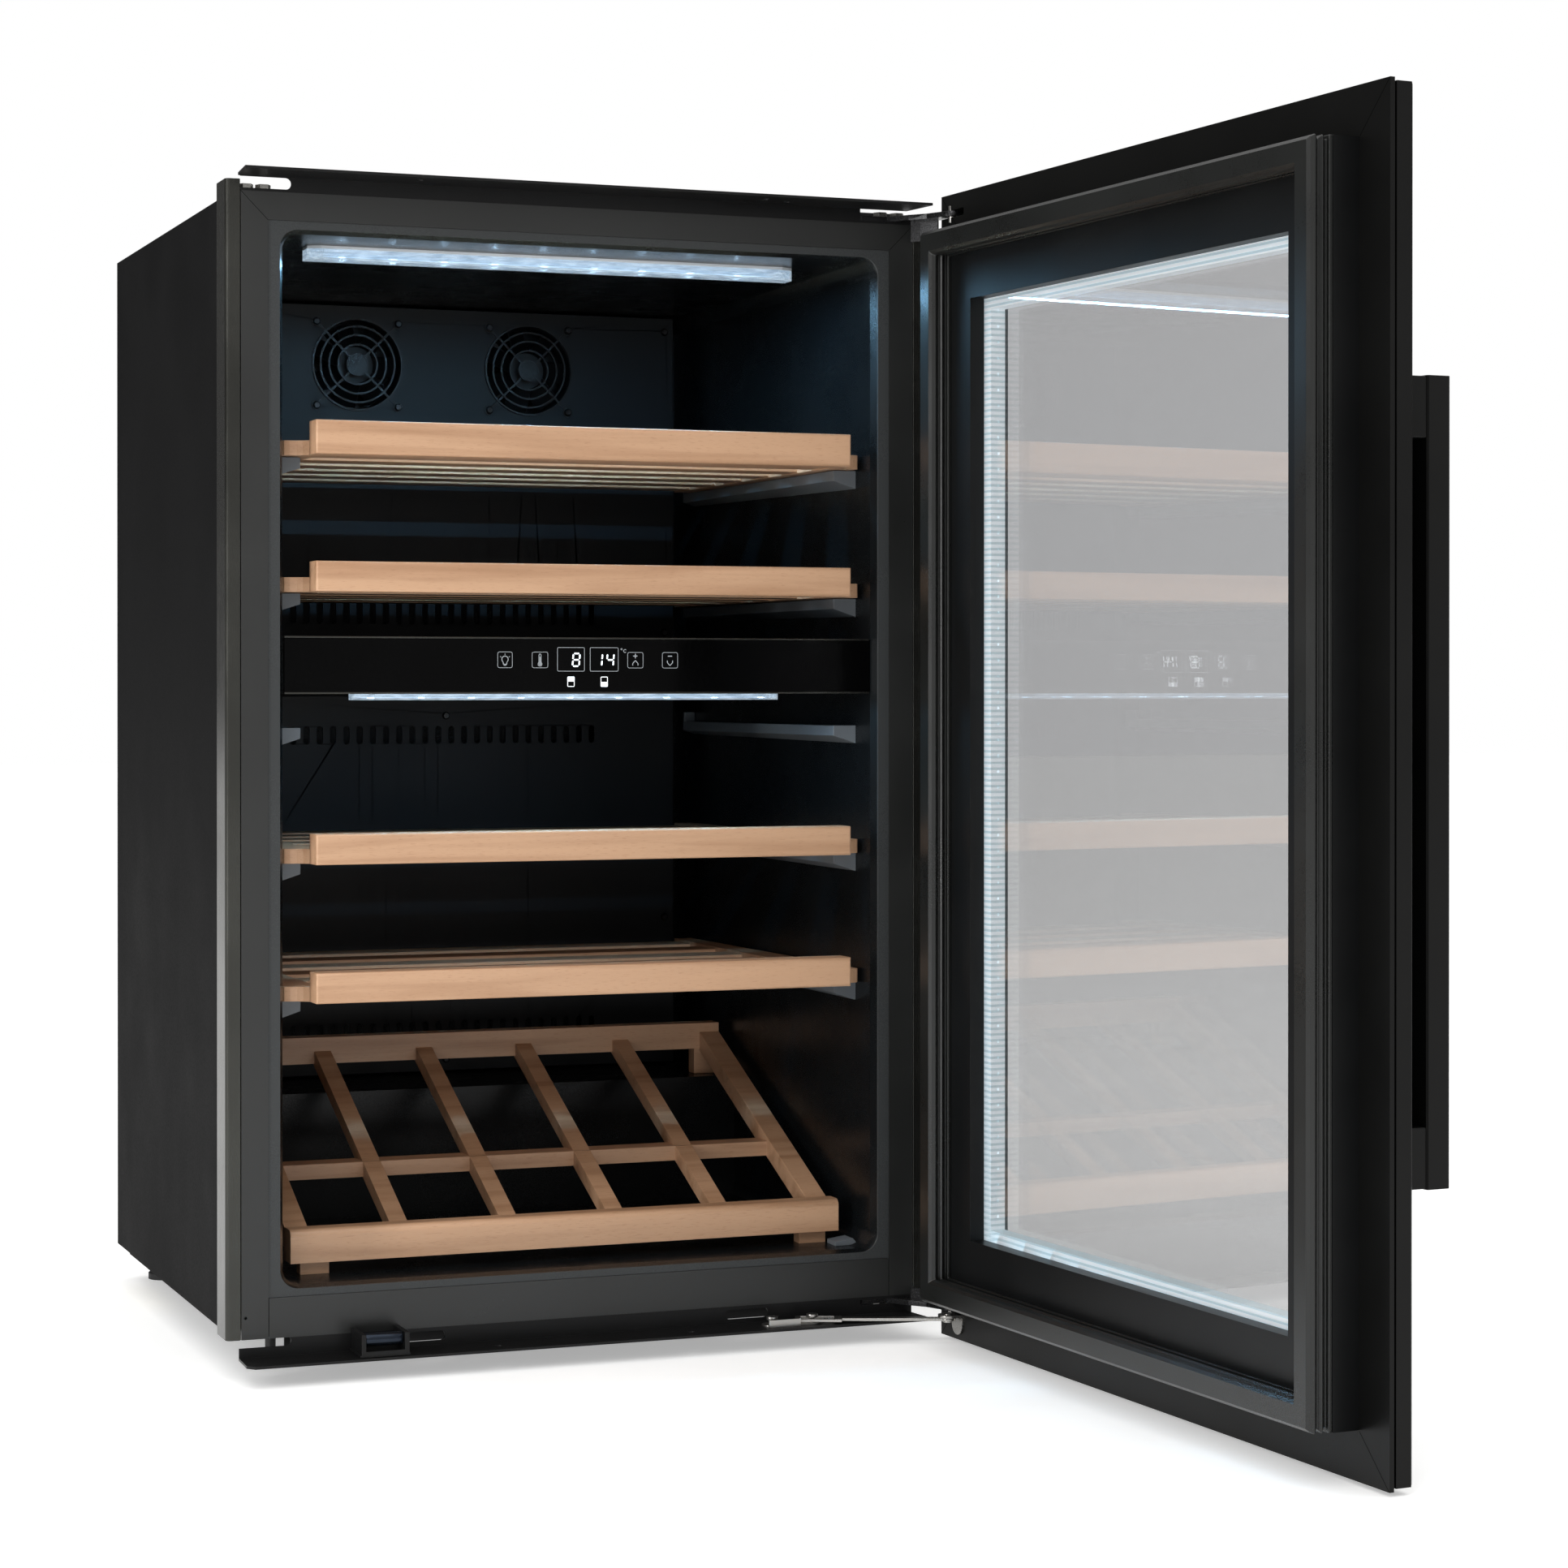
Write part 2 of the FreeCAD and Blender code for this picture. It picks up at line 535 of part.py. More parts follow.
top_lens = bar_body(76, 468, 60, 80, 826, 834, 10)
top_lens = top_lens.cut(bar_body(77.7, 466.3, 61.5, 78.5, 827.5, 840, 9.4))
low_lens = bar_body(100, 440, 16, 34, 494, 499, 14)
low_lens = low_lens.cut(bar_body(101.5, 438.5, 17.2, 32.8, 495.2, 501, 13.4))
nodes["led_lenses"] = group([top_lens, low_lens])
top_led = [box(88, 456, 61.8, 78.2, 831, 840).common(inner)]
top_led += [bar_body(76, 468, 60, 80, 834.1, 840, 10).common(inner)]
top_led += [box(101.5 + 40 * i, 107.5 + 40 * i, 69.5, 75.5, 829.4, 831.5) for i in range(9)]
low_led = [box(116, 424, 17.6, 32.4, 497.6, 499)]
low_led += [box(112 + 39 * i, 117 + 39 * i, 22, 27, 496.2, 498) for i in range(9)]
nodes["led_boards"] = group([fuse(top_led), fuse(low_led)])

# ---------------------------------------------------------------- shelf supports
supports = []
for level in [z for z, _ in SHELVES] + [EMPTY_LEVEL]:
    top_z = level - 0.6
    profile = [(38, 36, top_z), (64, 36, top_z), (64, 36, top_z - 8), (44, 36, top_z - 14.5),
               (38, 36, top_z - 14.5)]
    bar = prism(profile, (0, 352, 0))
    stop = box(38, 64, 386.6, 390, top_z - 8, top_z + 8)
    bar = fuse([bar, stop]).common(inner)
    supports.append(bar)
    supports.append(bar.mirror(V(BODY_W / 2, 0, 0), V(1, 0, 0)))
clip = prism([(489, 24, 60), (507, 24, 60), (507, 24, 66), (504, 24, 69.5), (489, 24, 67.5)],
             (0, 18, 0))
supports.append(clip.common(inner))
nodes["shelf_supports"] = group(supports)


# ---------------------------------------------------------------- sliding shelves
def front_board(z, h):
    b = box(BOARD[0], BOARD[1], BOARD[2], BOARD[3], z, z + h)
    long_edges = [e for e in b.Edges if e.Length > 300 and e.CenterOfMass.y < 0]
    ends = [e for e in b.Edges if e.Length < 40 and e.CenterOfMass.y < 0
            and abs(e.CenterOfMass.z - z - h / 2) < 0.1]
    return b.makeFillet(1.8, long_edges + ends)


def rack(z):
    rail = [(74, 16), (74, RACK_END), (58, RACK_END), (47.5, 60), (47, 27), (49, 24), (53, 22.5),
            (58, 21.5), (62, 19.5), (66, 16)]
    left = prism([(a, b, z) for a, b in rail], (0, 0, 11))
    right = left.mirror(V(BODY_W / 2, 0, 0), V(1, 0, 0))
    parts = [left, right]
    for i in range(6):
        y = 24 + i * 64
        parts.append(box(73, BODY_W - 73, y, y + 34, z + 1, z + 9))
    return fuse(parts)


for i, (z, h) in enumerate(SHELVES):
    nodes["shelf_%d_front" % (i + 1)] = front_board(z, h)
    nodes["shelf_%d_rack" % (i + 1)] = rack(z)

# inclined presentation shelf
SLOPE_Y0, SLOPE_Z0 = 60.0, 80.0
SLOPE_Y1, SLOPE_Z1 = 330.0, 198.0
bar = box(56.8, 497.2, 38, 60, 74, 99)
bar = bar.makeFillet(5, [e for e in bar.Edges if e.Length > 300 and e.CenterOfMass.z > 98])
bar_feet = [box(x, x + 22, 46, 58, 60, 75).common(inner) for x in (66, 467)]
nodes["display_shelf_front"] = fuse([bar] + bar_feet)
rack_parts = []
for x in (58.0, 479.4):
    rack_parts.append(prism([(x, SLOPE_Y0, SLOPE_Z0), (x, SLOPE_Y1, SLOPE_Z1),
                             (x, SLOPE_Y1, SLOPE_Z1 + 16), (x, SLOPE_Y0, SLOPE_Z0 + 16)],
                            (17.6, 0, 0)))
for i in range(1, 5):
    x = 277.5 - 7 + (i - 2.5) * 86.5
    rack_parts.append(prism([(x, SLOPE_Y0, SLOPE_Z0), (x, SLOPE_Y1, SLOPE_Z1),
                             (x, SLOPE_Y1, SLOPE_Z1 + 12), (x, SLOPE_Y0, SLOPE_Z0 + 12)],
                            (14, 0, 0)))
rack_parts.append(box(58, 497, 312, 330, 192, 214))
rack_parts.append(box(70, 485, 150, 172, 120, 132))
rack_parts.append(box(62, 80, 314, 328, HUMP_Z + 0.2, 200))
rack_parts.append(box(475, 493, 314, 328, HUMP_Z + 0.2, 200))
nodes["display_shelf_rack"] = fuse(rack_parts)

# ---------------------------------------------------------------- machine compartment
shell = Part.makeCylinder(58, 84, V(430, 398, 44))
shell = shell.makeFillet(20, [e for e in shell.Edges if e.Closed])
pump = [shell, cyl(430, 398, 84, 60.5, 3), box(374, 486, 352, 444, 24, 30)]
pump += [cyl(x, y, 17.8, 9, 13) for x in (384, 476) for y in (362, 434)]
pump += [box(410, 450, 380, 416, 28, 60)]
pump += [cyl(350, 398, 100, 4, 40, (1, 0, 0))]
nodes["compressor"] = fuse(pump)

cond = [cyl(60, 330 + 22 * a, 34 + 22 * b, 4, 110, (1, 0, 0)) for a in range(6) for b in range(5)]
cond += [box(62 + 8 * i, 62.6 + 8 * i, 320, 450, 24, 132) for i in range(14)]
cond += [box(60, 62, 316, 454, 17.6, 138), box(168, 170, 316, 454, 17.6, 138)]
frame = fan_frame(56, 53, 18, 25, 2.5, 17)
frame.rotate(V(0, 0, 0), V(0, 0, 1), -90)
frame = moved(frame, 205, 388, 76)
duct = box(170, 205.5, 330, 446, 18, 134).cut(box(168, 207, 332, 444, 20, 132))
nodes["condenser"] = fuse(cond + [duct, frame])
rotor = fan_rotor(51.0, 19.5, 17, 2.5 + RUN_GAP, 7, 35)
rotor.rotate(V(0, 0, 0), V(0, 0, 1), -90)
nodes["condenser_fan_rotor"] = moved(rotor, 205 + 4.6, 388, 76)

# ---------------------------------------------------------------- door
pocket_top = box(-2, 36, -2, 13.6, 867.2, 872.8)
pocket_low = box(-2, 36, -2, 13.6, 20.2, 25.8)
pin_holes = [cyl(PIN_U, PIN_V, z - 0.5, PIN_R, PIN_L + 1) for z in PIN_Z]
plate = box(0, DOOR_W, 0, 3.5, 0, DOOR_H).cut(box(76, 515, -1, 5, 78.5, 804))
door_nodes["door_back_plate"] = cut(plate, [pocket_top, pocket_low] + pin_holes)

front = box(0, DOOR_W, 5, 18, 2, DOOR_H - 2)
front = front.makeChamfer(1.6, [e for e in front.Edges if abs(e.CenterOfMass.y - 18) < 0.1])
neck = box(3, DOOR_W - 3, 3.5, 5, 5, DOOR_H - 5)
front = fuse([front, neck])
front = cut(front, [
    box(GLASS[0], GLASS[1], 0, 30, GLASS[2], GLASS[3]),
    box(76, 515, 3, 13, 78.5, 804),
    pocket_top, pocket_low,
] + pin_holes)
door_nodes["door_outer_frame"] = front

o, g = RING_OUT, GLASS
bars = []
for pts in (
    ((o[0], o[2]), (g[0], g[2]), (g[0], g[3]), (o[0], o[3])),
    ((o[1], o[2]), (g[1], g[2]), (g[1], g[3]), (o[1], o[3])),
    ((o[0], o[2]), (g[0], g[2]), (g[1], g[2]), (o[1], o[2])),
    ((o[0], o[3]), (g[0], g[3]), (g[1], g[3]), (o[1], o[3])),
):
    bars.append(prism([(a, -20, b) for a, b in pts], (0, 20, 0)))
rebate = box(76, 515, -8, 1, 78.5, 804)
door_nodes["door_inner_frame"] = group([cut(b, [rebate]) for b in bars])

door_nodes["gasket"] = fuse([
    tapered_ring(RING_OUT, -20, -23, 0, 0, GASKET_W, GASKET_W),
    tapered_ring(RING_OUT, -23, -25, 3, 3, GASKET_W - 3, GASKET_W - 3),
    tapered_ring(RING_OUT, -25, -27.5, 3, 0, GASKET_W - 3, GASKET_W),
    tapered_ring(RING_OUT, -27.5, -30, 0, 3, GASKET_W, GASKET_W - 3),
    tapered_ring(RING_OUT, -30, -33, 3, 0, GASKET_W - 3, GASKET_W),
    tapered_ring(RING_OUT, -33, -36, 0, 1.5, GASKET_W, GASKET_W - 1.5),
    tapered_ring(RING_OUT, -36, -38, 1.5, 3.5, GASKET_W - 1.5, GASKET_W - 3.5),
])
door_nodes["glass_panes"] = group([
    box(76, 515, -8, -4, 78.5, 804),
    box(76, 515, 8, 13, 78.5, 804),
])
spacer = frame_ring((79, 512, 81.5, 801), (91, 500, 93.5, 789), -4, 8)
dots = []
for i in range(58):
    z = 104 + i * 12
    dots.append(cyl(89, 2, z, 1.1, 414, (1, 0, 0)))
spacer = cut(spacer, dots)
door_nodes["glass_spacer"] = spacer

bar = box(HANDLE_U[0], HANDLE_U[1], 43, 61, 184, 702)
bar = bar.makeChamfer(1.2, [e for e in bar.Edges if e.Length > 500])
web = box(HANDLE_U[0] + 1.4, HANDLE_U[0] + 4, 18, 46, 224, 662)
door_nodes["handle_bar"] = fuse([bar, web])
door_nodes["handle_posts"] = group([
    box(HANDLE_U[0] + 1, HANDLE_U[1] - 1, 18, 43, 184.6, 224),
    box(HANDLE_U[0] + 1, HANDLE_U[1] - 1, 18, 43, 662, 701.4),
])
door_nodes["hinge_pins"] = group([cyl(PIN_U, PIN_V, z, PIN_R, PIN_L) for z in PIN_Z])
door_nodes["stay_bracket"] = fuse([
    box(20, 36, STAY_V, 0, 18.2, 20.2),
    cyl(STAY_U, STAY_V, 18.2, 8, 2),
    box(20, 36, -1.5, 0, 12, 20.2),
    cyl(STAY_U, -1.5, 12, 8, 1.5, (0, 1, 0)),
    cyl(STAY_U, STAY_V, 14.4, 2.0, 5),
    cyl(STAY_U, STAY_V, 14.4, 4.2, 0.9),
    cyl(STAY_U, STAY_V, 20.1, 3.4, 0.6),
])

# lower stay strip, drawn in the rest pose of the cabinet
rest = V(DOOR_EDGE_X - STAY_U - HINGE_X, DOOR_Y - STAY_V - HINGE_Y, 0)
turn = math.radians(DOOR_OPEN)
stay_a = V(HINGE_X + rest.x * math.cos(turn) - rest.y * math.sin(turn),
           HINGE_Y + rest.x * math.sin(turn) + rest.y * math.cos(turn), 0)
strip = fuse([
    cyl(0, 0, 15.6, 6.0, 2.2),
    box(0, 90, -3.5, 3.5, 15.6, 17.8),
    box(82, 118, -8.2, 8.2, 15.6, 17.8),
])
slot = box(88, 114, -6, 6, 10, 20)
strip = cut(strip, [slot, cyl(0, 0, 10, 2.0 + RUN_GAP, 10)])
strip.rotate(V(0, 0, 0), V(0, 0, 1), math.degrees(math.atan2(STAY_Q.y - stay_a.y,
                                                             STAY_Q.x - stay_a.x)))
strip.translate(stay_a)
nodes["stay_link"] = strip

for name, shape in nodes.items():
    place(shape).exportStep("parts/%s.step" % name)
for name, shape in door_nodes.items():
    place_door(shape).exportStep("parts/%s.step" % name)
print(len(nodes) + len(door_nodes), "nodes")
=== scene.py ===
"""Looks for the built-in wine cooler: materials, lit displays, light bars and a plain studio.

Everything is in metres in the part's own frame.  at() turns cabinet millimetres (from the
outer face of the left trim, the front of the face frame and the lower door edge) into it.
"""
import bpy
import json
import math
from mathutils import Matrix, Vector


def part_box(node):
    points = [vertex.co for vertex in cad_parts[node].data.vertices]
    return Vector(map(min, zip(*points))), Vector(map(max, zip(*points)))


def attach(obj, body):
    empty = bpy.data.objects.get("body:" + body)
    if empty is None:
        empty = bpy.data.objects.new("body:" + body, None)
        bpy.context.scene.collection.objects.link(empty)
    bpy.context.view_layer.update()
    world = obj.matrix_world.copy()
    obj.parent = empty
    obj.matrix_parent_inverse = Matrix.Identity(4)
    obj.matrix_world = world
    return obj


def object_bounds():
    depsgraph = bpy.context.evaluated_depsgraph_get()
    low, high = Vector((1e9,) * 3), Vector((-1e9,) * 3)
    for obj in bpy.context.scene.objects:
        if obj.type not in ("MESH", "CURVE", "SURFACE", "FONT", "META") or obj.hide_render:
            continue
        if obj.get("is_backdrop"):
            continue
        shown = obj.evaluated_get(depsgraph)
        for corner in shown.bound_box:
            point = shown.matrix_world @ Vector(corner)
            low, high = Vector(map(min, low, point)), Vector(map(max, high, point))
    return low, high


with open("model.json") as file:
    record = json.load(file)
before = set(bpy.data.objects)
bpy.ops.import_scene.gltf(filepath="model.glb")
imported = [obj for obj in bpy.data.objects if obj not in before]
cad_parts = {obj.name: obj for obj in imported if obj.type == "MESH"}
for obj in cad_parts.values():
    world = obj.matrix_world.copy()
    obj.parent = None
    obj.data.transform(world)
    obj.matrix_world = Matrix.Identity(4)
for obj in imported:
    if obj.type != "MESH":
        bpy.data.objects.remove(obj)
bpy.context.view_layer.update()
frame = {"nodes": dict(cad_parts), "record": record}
nodes = frame["nodes"]

SHIFT = (-0.278, -0.260, 0.003)
HINGE_EDGE = (556.9, -27.8)
DOOR_OPEN = 94.4
DOOR_TURN = math.radians(DOOR_OPEN - 180)
CHIP_TINT = (0.62, 0.84, 1.0)
BAR_TINT = (0.3, 0.66, 1.0)


def at(x, y, z):
    return (x / 1000 + SHIFT[0], y / 1000 + SHIFT[1], z / 1000 + SHIFT[2])


def door_at(u, v, z):
    """Door millimetres (from the hinge edge, out from the back plate, up) to the frame."""
    x = HINGE_EDGE[0] + u * math.cos(DOOR_TURN) - v * math.sin(DOOR_TURN)
    y = HINGE_EDGE[1] + u * math.sin(DOOR_TURN) + v * math.cos(DOOR_TURN)
    return at(x, y, z)


def add_mesh(name, verts, faces, mat, body="cabinet"):
    mesh = bpy.data.meshes.new(name)
    mesh.from_pydata(verts, [], faces)
    mesh.materials.append(mat)
    obj = bpy.data.objects.new(name, mesh)
    bpy.context.collection.objects.link(obj)
    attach(obj, body)
    return obj


# ---------------------------------------------------------------- node material helpers
def new_material(name):
    mat = bpy.data.materials.new(name)
    mat.use_nodes = True
    tree = mat.node_tree
    shader = tree.nodes["Principled BSDF"]
    return mat, tree, shader


def noise(tree, scale, detail=4.0, stretch=(1, 1, 1), rough=0.55):
    coords = tree.nodes.new("ShaderNodeTexCoord")
    mapping = tree.nodes.new("ShaderNodeMapping")
    mapping.inputs["Scale"].default_value = stretch
    tex = tree.nodes.new("ShaderNodeTexNoise")
    tex.inputs["Scale"].default_value = scale
    tex.inputs["Detail"].default_value = detail
    tex.inputs["Roughness"].default_value = rough
    tree.links.new(coords.outputs["Object"], mapping.inputs["Vector"])
    tree.links.new(mapping.outputs["Vector"], tex.inputs["Vector"])
    return tex.outputs["Fac"]


def spread(tree, value, low, high, start=0.3, stop=0.7):
    node = tree.nodes.new("ShaderNodeMapRange")
    node.inputs["From Min"].default_value = start
    node.inputs["From Max"].default_value = stop
    node.inputs["To Min"].default_value = low
    node.inputs["To Max"].default_value = high
    tree.links.new(value, node.inputs["Value"])
    return node.outputs["Result"]


def ramp(tree, value, stops):
    node = tree.nodes.new("ShaderNodeValToRGB")
    keys = node.color_ramp.elements
    while len(keys) < len(stops):
        keys.new(0.5)
    for key, (place, colour) in zip(keys, stops):
        key.position = place
        key.color = (*colour, 1)
    tree.links.new(value, node.inputs["Fac"])
    return node.outputs["Color"]


def bump(tree, shader, height, strength, distance=0.001):
    node = tree.nodes.new("ShaderNodeBump")
    node.inputs["Strength"].default_value = strength
    node.inputs["Distance"].default_value = distance
    tree.links.new(height, node.inputs["Height"])
    tree.links.new(node.outputs["Normal"], shader.inputs["Normal"])


def tone(colour, factor):
    return tuple(min(1.0, c * factor) for c in colour)


def surface(name, colour, rough, metal=0.0, grain=900, relief=0.12, vary=0.12, coat=0.0,
            stretch=(1, 1, 1), specular=0.5):
    """Paint, plastic or metal with fine relief, cloudy gloss and slightly uneven colour."""
    mat, tree, shader = new_material(name)
    clouds = noise(tree, 9, 5)
    fine = noise(tree, grain, 3, stretch)
    low, high = tone(colour, 1 - vary), tone(colour, 1 + vary)
    tree.links.new(ramp(tree, clouds, [(0.35, low), (0.65, high)]), shader.inputs["Base Color"])
    worn = tree.nodes.new("ShaderNodeMath")
    worn.operation = "MULTIPLY_ADD"
    tree.links.new(spread(tree, clouds, -0.05, 0.06), worn.inputs[0])
    worn.inputs[1].default_value = 1.0
    tree.links.new(spread(tree, fine, rough - 0.03, rough + 0.04), worn.inputs[2])
    tree.links.new(worn.outputs[0], shader.inputs["Roughness"])
    shader.inputs["Metallic"].default_value = metal
    shader.inputs["Coat Weight"].default_value = coat
    shader.inputs["Specular IOR Level"].default_value = specular
    bump(tree, shader, fine, relief, 0.0004)
    return mat


def wood(name, light, dark, shift):
    """Steamed beech: long soft bands, short dark ray flecks and fine pores along x."""
    mat, tree, shader = new_material(name)
    coords = tree.nodes.new("ShaderNodeTexCoord")
    place = tree.nodes.new("ShaderNodeMapping")
    place.inputs["Location"].default_value = (shift, shift * 0.7, 0)
    place.inputs["Scale"].default_value = (1.6, 34, 34)
    tree.links.new(coords.outputs["Object"], place.inputs["Vector"])
    bands = tree.nodes.new("ShaderNodeTexNoise")
    bands.inputs["Scale"].default_value = 2.2
    bands.inputs["Detail"].default_value = 6
    bands.inputs["Distortion"].default_value = 0.4
    tree.links.new(place.outputs["Vector"], bands.inputs["Vector"])
    flecks = noise(tree, 60, 2, (2.2, 24, 24))
    pores = noise(tree, 900, 2, (0.12, 1, 1))
    base = ramp(tree, bands.outputs["Fac"], [(0.3, dark), (0.52, light), (0.75, tone(light, 1.06))])
    mix = tree.nodes.new("ShaderNodeMix")
    mix.data_type = "RGBA"
    mix.blend_type = "MULTIPLY"
    tree.links.new(base, mix.inputs["A"])
    tree.links.new(ramp(tree, flecks, [(0.28, (0.72, 0.62, 0.54)), (0.42, (1, 1, 1))]),
                   mix.inputs["B"])
    mix.inputs["Factor"].default_value = 0.55
    tree.links.new(mix.outputs["Result"], shader.inputs["Base Color"])
    tree.links.new(spread(tree, pores, 0.36, 0.52), shader.inputs["Roughness"])
    shader.inputs["Coat Weight"].default_value = 0.12
    shader.inputs["Coat Roughness"].default_value = 0.3
    bump(tree, shader, pores, 0.1, 0.0003)
    return mat


def glass(name, colour, rough, ior=1.5):
    mat, tree, shader = new_material(name)
    shader.inputs["Base Color"].default_value = (*colour, 1)
    shader.inputs["Transmission Weight"].default_value = 1.0
    shader.inputs["IOR"].default_value = ior
    haze = noise(tree, 6, 4)
    tree.links.new(spread(tree, haze, rough, rough + 0.012), shader.inputs["Roughness"])
    return mat


def glow(name, colour, strength, base=(0.8, 0.85, 0.9)):
    mat, _, shader = new_material(name)
    shader.inputs["Base Color"].default_value = (*base, 1)
    shader.inputs["Roughness"].default_value = 0.4
    shader.inputs["Emission Color"].default_value = (*colour, 1)
    shader.inputs["Emission Strength"].default_value = strength
    return mat


def liner_plastic():
    """Deep satin plastic, painted darker inside the cabinet as painted shade; the flat flange round
    the mouth is painted lighter, as grey as the lit frame, standing in for the light on its front
    face.
    """
    mat = surface("liner_plastic", (0.005, 0.006, 0.0068), 0.26, grain=1400, specular=0.22)
    tree = mat.node_tree
    shader = tree.nodes["Principled BSDF"]
    coords = tree.nodes.new("ShaderNodeTexCoord")
    axes = tree.nodes.new("ShaderNodeSeparateXYZ")
    tree.links.new(coords.outputs["Object"], axes.inputs["Vector"])
    flange_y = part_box("liner")[0][1]
    edge_start, edge_stop = flange_y + 0.0006, flange_y + 0.0012
    # mask from the flange, painted as lit, to the inside, painted as shaded
    shaded_inside_mask = spread(tree, axes.outputs["Y"], 0, 1, edge_start, edge_stop)
    mix = tree.nodes.new("ShaderNodeMix")
    mix.data_type = "RGBA"
    tree.links.new(shaded_inside_mask, mix.inputs["Factor"])
    # painted light: the flange colour is lighter than the inner colour and stands in for light on
    # the front-facing flange; the same plastic stays dark inside as painted shade
    mix.inputs["A"].default_value = (0.04, 0.0425, 0.0435, 1)
    tree.links.new(shader.inputs["Base Color"].links[0].from_socket, mix.inputs["B"])
    tree.links.new(mix.outputs["Result"], shader.inputs["Base Color"])
    return mat


PANE_STEP = 0.004


def pane_glass(name, inner, outer):
    """Clear inner pane and grey outer pane, told apart by their depth in the door."""
    mat = glass(name, inner, 0.0, 1.5)
    tree = mat.node_tree
    shader = tree.nodes["Principled BSDF"]
    coords = tree.nodes.new("ShaderNodeTexCoord")
    depth = tree.nodes.new("ShaderNodeVectorMath")
    depth.operation = "DOT_PRODUCT"
    tree.links.new(coords.outputs["Object"], depth.inputs[0])
    out = (-math.sin(DOOR_TURN), math.cos(DOOR_TURN), 0)
    depth.inputs[1].default_value = out
    start = sum(a * b for a, b in zip(out, at(*HINGE_EDGE, 0)))
    tint = spread(tree, depth.outputs["Value"], 0, 1, start, start + PANE_STEP)
    tree.links.new(ramp(tree, tint, [(0.2, inner), (0.8, outer)]), shader.inputs["Base Color"])
    return mat


def lens_glow(name):
    """Clear ribbed lens lit from within, with streaks along its length."""
    mat, tree, shader = new_material(name)
    streaks = noise(tree, 120, 4, (0.7, 5, 5))
    shader.inputs["Base Color"].default_value = (0.75, 0.85, 0.95, 1)
    shader.inputs["Transmission Weight"].default_value = 0.8
    shader.inputs["Roughness"].default_value = 0.15
    shader.inputs["IOR"].default_value = 1.4
    tree.links.new(ramp(tree, streaks, [(0.3, (0.4, 0.62, 0.85)), (0.62, (0.85, 0.95, 1.0))]),
                   shader.inputs["Emission Color"])
    tree.links.new(spread(tree, streaks, 0.02, 0.27), shader.inputs["Emission Strength"])
    return mat


def spacer_metal_with_painted_glow(name):
    """Aluminium spacer bar with fine cross ribs up its height, made to read bright by a faint
    bluish glow painted on as a highlight, though the spacer is no lamp.
    """
    mat, tree, shader = new_material(name)
    coords = tree.nodes.new("ShaderNodeTexCoord")
    ribs = tree.nodes.new("ShaderNodeTexWave")
    ribs.bands_direction = "Z"
    ribs.inputs["Scale"].default_value = 72
    ribs.inputs["Distortion"].default_value = 0.0
    tree.links.new(coords.outputs["Object"], ribs.inputs["Vector"])
    tree.links.new(ramp(tree, ribs.outputs["Fac"], [(0.25, (0.5, 0.62, 0.66)),
                                                    (0.5, (0.93, 0.97, 1.0))]),
                   shader.inputs["Base Color"])
    shader.inputs["Roughness"].default_value = 0.45
    # painted highlight: the spacer glows faintly, standing in for light caught on the metal
    shader.inputs["Emission Color"].default_value = (0.85, 0.95, 1.0, 1)
    shader.inputs["Emission Strength"].default_value = 0.25
    bump(tree, shader, ribs.outputs["Fac"], 0.4, 0.0006)
    return mat


